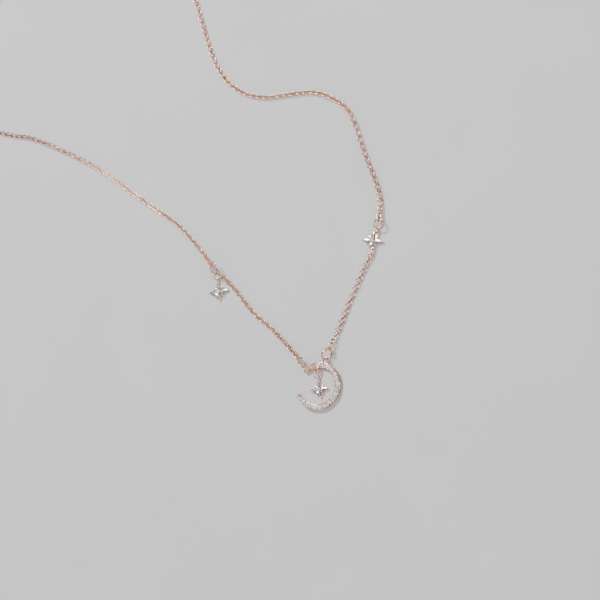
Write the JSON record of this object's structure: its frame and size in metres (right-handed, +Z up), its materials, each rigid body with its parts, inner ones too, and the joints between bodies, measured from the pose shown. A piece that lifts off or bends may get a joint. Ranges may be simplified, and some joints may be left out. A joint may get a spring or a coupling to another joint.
{
  "type": "pendant necklace",
  "caption": "Fine rose gold necklace with a stone-set crescent pendant, small eight-rayed star charms, a cable chain, a lobster clasp and an extender, lying open.",
  "frame": {"origin": "middle of the laid-out necklace's footprint, at the height of the surface it lies on", "axes": "+X runs along the longer side of the layout towards the pendant, +Y along its shorter side towards the clasp, +Z up out of the surface the necklace lies on"},
  "size_m": [0.1513, 0.1406, 0.003],
  "materials": {
    "rose_gold": "polished rose gold plate",
    "bright_gold": "bright polished rose gold plate",
    "chain_gold": "polished rose gold plate on drawn wire",
    "crystal": "clear round cut stone",
    "spring_steel": "bright spring wire"
  },
  "bodies": {
    "pendant": {"crescent_frame": "rose_gold", "crescent_stone_01": "crystal", "crescent_stone_02": "crystal", "crescent_stone_03": "crystal", "crescent_stone_04": "crystal", "crescent_stone_05": "crystal", "crescent_stone_06": "crystal", "crescent_stone_07": "crystal", "crescent_stone_08": "crystal", "crescent_stone_09": "crystal", "crescent_stone_10": "crystal", "crescent_stone_11": "crystal", "crescent_stone_12": "crystal", "crescent_stone_13": "crystal", "crescent_stone_14": "crystal", "crescent_stone_15": "crystal", "crescent_stone_16": "crystal", "crescent_stone_17": "crystal", "crescent_stone_18": "crystal"},
    "left_jump_ring": {"left_jump_ring": "rose_gold"},
    "left_lower_chain": {"left_lower_chain_link_at_pendant": "chain_gold", "left_lower_chain": "chain_gold", "left_lower_chain_link_at_charm": "chain_gold"},
    "left_junction_ring": {"left_junction_ring": "rose_gold"},
    "left_star_ring": {"left_star_ring": "rose_gold"},
    "left_star": {"left_star": "bright_gold", "left_star_stone": "crystal"},
    "left_upper_chain": {"left_upper_chain_link_at_charm": "chain_gold", "left_upper_chain": "chain_gold", "left_upper_chain_link_at_clasp": "chain_gold"},
    "clasp_ring": {"clasp_ring": "rose_gold"},
    "clasp": {"clasp_body": "rose_gold", "clasp_rivet": "bright_gold", "clasp_spring": "spring_steel"},
    "clasp_lever": {"clasp_lever": "bright_gold"},
    "right_jump_ring": {"right_jump_ring": "rose_gold"},
    "right_lower_chain": {"right_lower_chain_link_at_pendant": "chain_gold", "right_lower_chain": "chain_gold", "right_lower_chain_link_at_star": "chain_gold"},
    "right_star": {"right_star": "bright_gold", "right_star_stone": "crystal"},
    "right_star_ring": {"right_star_ring": "rose_gold"},
    "right_junction_ring": {"right_junction_ring": "rose_gold"},
    "right_upper_chain": {"right_upper_chain_link_at_star": "chain_gold", "right_upper_chain": "chain_gold", "right_upper_chain_link_at_end": "chain_gold"},
    "end_ring": {"end_ring": "rose_gold"},
    "extender": {"extender_link_at_ring": "chain_gold", "extender_chain": "chain_gold", "extender_link_at_drop": "chain_gold"},
    "end_drop": {"end_drop": "bright_gold"},
    "centre_star_ring": {"centre_star_ring": "rose_gold"},
    "centre_star": {"centre_star": "bright_gold", "centre_star_stone": "crystal"}
  },
  "joints": [
    {"name": "left_jump_ring_swing", "type": "hinge", "parent": "pendant", "child": "left_jump_ring", "pos_m": [0.05762, -0.05615, 0.00102], "axis": [0, 0, 1], "range_deg": [0, 8]},
    {"name": "left_lower_chain_swing", "type": "hinge", "parent": "left_jump_ring", "child": "left_lower_chain", "pos_m": [0.05576, -0.05406, 0.00156], "axis": [0, 0, 1], "range_deg": [0, 6]},
    {"name": "left_junction_ring_swing", "type": "hinge", "parent": "left_lower_chain", "child": "left_junction_ring", "pos_m": [0.02935, -0.03195, 0.00183], "axis": [0, 0, 1], "range_deg": [0, 5]},
    {"name": "left_star_ring_swing", "type": "hinge", "parent": "left_junction_ring", "child": "left_star_ring", "pos_m": [0.02862, -0.03249, 0.00111], "axis": [0, 0, 1], "range_deg": [-6, 0]},
    {"name": "left_star_lift", "type": "hinge", "parent": "left_star_ring", "child": "left_star", "pos_m": [0.02929, -0.03358, 0.00064], "axis": [-0.9816, -0.1908, 0], "range_deg": [0, 35]},
    {"name": "left_upper_chain_swing", "type": "hinge", "parent": "left_junction_ring", "child": "left_upper_chain", "pos_m": [0.02718, -0.03018, 0.00137], "axis": [0, 0, 1], "range_deg": [0, 5]},
    {"name": "clasp_ring_swing", "type": "hinge", "parent": "left_upper_chain", "child": "clasp_ring", "pos_m": [-0.05473, 0.06247, 0.00058], "axis": [0, 0, 1], "range_deg": [-6, 0]},
    {"name": "clasp_swing", "type": "hinge", "parent": "clasp_ring", "child": "clasp", "pos_m": [-0.05329, 0.06281, 0.001], "axis": [0, 0, 1], "range_deg": [-8, 0]},
    {"name": "clasp_lever_open", "type": "hinge", "parent": "clasp", "child": "clasp_lever", "pos_m": [-0.05016, 0.06248, 0.00088], "axis": [0, 0, 1], "range_deg": [0, 28], "stiffness_Nm_per_rad": 0.003, "springref_deg": -22.92},
    {"name": "right_jump_ring_swing", "type": "hinge", "parent": "pendant", "child": "right_jump_ring", "pos_m": [0.0633, -0.05438, 0.00102], "axis": [0, 0, 1], "range_deg": [-8, 0]},
    {"name": "right_lower_chain_swing", "type": "hinge", "parent": "right_jump_ring", "child": "right_lower_chain", "pos_m": [0.064, -0.05196, 0.00176], "axis": [0, 0, 1], "range_deg": [-6, 0]},
    {"name": "right_star_swing", "type": "hinge", "parent": "right_lower_chain", "child": "right_star", "pos_m": [0.07308, -0.02668, 0.00057], "axis": [0, 0, 1], "range_deg": [-6, 0]},
    {"name": "right_star_ring_swing", "type": "hinge", "parent": "right_star", "child": "right_star_ring", "pos_m": [0.07372, -0.0225, 0.00057], "axis": [0, 0, 1], "range_deg": [-6, 0]},
    {"name": "right_junction_ring_swing", "type": "hinge", "parent": "right_star_ring", "child": "right_junction_ring", "pos_m": [0.0739, -0.02152, 0.00082], "axis": [0, 0, 1], "range_deg": [-4, 0]},
    {"name": "right_upper_chain_swing", "type": "hinge", "parent": "right_junction_ring", "child": "right_upper_chain", "pos_m": [0.07421, -0.01942, 0.00126], "axis": [0, 0, 1], "range_deg": [-5, 0]},
    {"name": "end_ring_swing", "type": "hinge", "parent": "right_upper_chain", "child": "end_ring", "pos_m": [-0.01604, 0.06521, 0.00097], "axis": [0, 0, 1], "range_deg": [-5, 0]},
    {"name": "extender_swing", "type": "hinge", "parent": "end_ring", "child": "extender", "pos_m": [-0.01805, 0.06584, 0.00104], "axis": [0, 0, 1], "range_deg": [-6, 0]},
    {"name": "end_drop_swing", "type": "hinge", "parent": "extender", "child": "end_drop", "pos_m": [-0.07078, 0.0645, 0.00135], "axis": [0, 0, 1], "range_deg": [-8, 8]},
    {"name": "centre_star_ring_swing", "type": "hinge", "parent": "pendant", "child": "centre_star_ring", "pos_m": [0.06121, -0.05708, 0.00102], "axis": [0, 0, 1], "range_deg": [-10, 10]},
    {"name": "centre_star_lift", "type": "hinge", "parent": "centre_star_ring", "child": "centre_star", "pos_m": [0.06155, -0.05873, 0.00064], "axis": [-0.9796, -0.2011, 0], "range_deg": [0, 35]}
  ]
}
